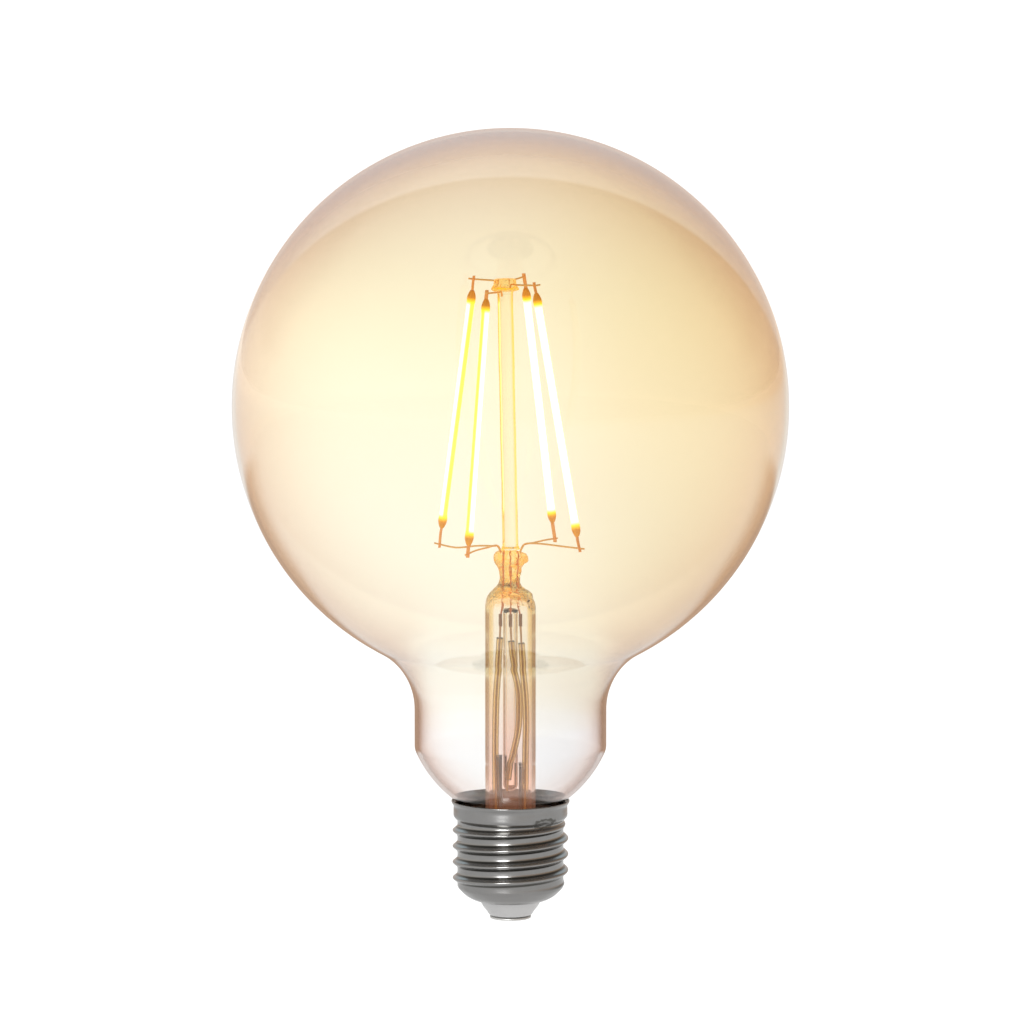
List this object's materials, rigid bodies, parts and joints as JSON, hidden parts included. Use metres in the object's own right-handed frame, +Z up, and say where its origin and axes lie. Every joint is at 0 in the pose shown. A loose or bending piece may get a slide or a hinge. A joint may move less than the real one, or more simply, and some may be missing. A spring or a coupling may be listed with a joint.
{
  "type": "smart filament light bulb",
  "caption": "Large amber globe smart filament bulb: glass stem with LED filaments on wires, driver and radio boards inside an E27 screw cap.",
  "frame": {"origin": "centre of the lamp's flat centre contact, at the bottom of the screw cap", "axes": "+Z up along the lamp's axis from the contact to the top of the globe; +X to the right and +Y to the back as the lamp is seen upright, with the filaments' stem wires in front"},
  "size_m": [0.125, 0.125, 0.1786],
  "materials": {
    "amber_glass": "thin blown soda-lime glass, polished, with a warm amber coat that fades out at the neck",
    "stem_glass": "clear lead-free stem glass, fire-polished",
    "nickel_shell": "rolled sheet metal with a satin nickel plating",
    "nickel_wire": "drawn nickel wire, bright",
    "insulator_glass": "pale grey vitrite insulator, satin",
    "cap_cement": "baked capping cement, matt",
    "phosphor_coat": "silicone with yellow phosphor, satin; lit warm white",
    "ceramic_strip": "sintered white alumina, satin",
    "copper_tab": "oxidised copper alloy strip",
    "copper_lead": "copper wire, bright",
    "dark_strand": "dark brown twisted strand",
    "amber_sleeve": "translucent amber heat-proof sleeving",
    "board_laminate": "glass-fibre laminate with green solder mask",
    "chip_black": "moulded black epoxy",
    "ferrite": "sintered dark grey ferrite"
  },
  "bodies": {
    "root": {"screw_shell": "nickel_shell", "centre_contact": "nickel_shell", "cap_insulator": "insulator_glass", "cement_ring": "cap_cement", "globe_envelope": "amber_glass", "stem_tube": "stem_glass", "exhaust_tube": "stem_glass", "centre_rod": "stem_glass", "rod_button": "stem_glass", "board_pin_1": "copper_lead", "board_pin_2": "copper_lead", "board_pin_3": "copper_lead", "bridge_rectifier": "chip_black", "chip_antenna": "ceramic_strip", "choke_core": "ferrite", "choke_winding": "copper_lead", "driver_board": "board_laminate", "driver_chip": "chip_black", "dumet_lead_1": "copper_lead", "dumet_lead_2": "copper_lead", "dumet_lead_3": "copper_lead", "filament_1_bottom_tab": "copper_tab", "filament_1_phosphor": "phosphor_coat", "filament_1_substrate": "ceramic_strip", "filament_1_top_tab": "copper_tab", "filament_2_bottom_tab": "copper_tab", "filament_2_phosphor": "phosphor_coat", "filament_2_substrate": "ceramic_strip", "filament_2_top_tab": "copper_tab", "filament_3_bottom_tab": "copper_tab", "filament_3_phosphor": "phosphor_coat", "filament_3_substrate": "ceramic_strip", "filament_3_top_tab": "copper_tab", "filament_4_bottom_tab": "copper_tab", "filament_4_phosphor": "phosphor_coat", "filament_4_substrate": "ceramic_strip", "filament_4_top_tab": "copper_tab", "fusible_resistor": "ceramic_strip", "lead_joint_1": "dark_strand", "lead_joint_2": "dark_strand", "lead_joint_3": "dark_strand", "live_wire": "copper_lead", "lower_lead_wire_1": "nickel_wire", "lower_lead_wire_2": "nickel_wire", "lower_lead_wire_3": "nickel_wire", "lower_lead_wire_4": "nickel_wire", "neutral_wire": "copper_lead", "output_wire_1": "dark_strand", "output_wire_2": "dark_strand", "output_wire_3": "dark_strand", "radio_board": "board_laminate", "radio_shield": "nickel_shell", "smoothing_capacitor": "chip_black", "upper_support_wire_1": "nickel_wire", "upper_support_wire_2": "nickel_wire", "upper_support_wire_3": "nickel_wire", "upper_support_wire_4": "nickel_wire", "wire_sleeve_1": "amber_sleeve", "wire_sleeve_2": "amber_sleeve", "wire_sleeve_3": "amber_sleeve"}
  },
  "joints": []
}
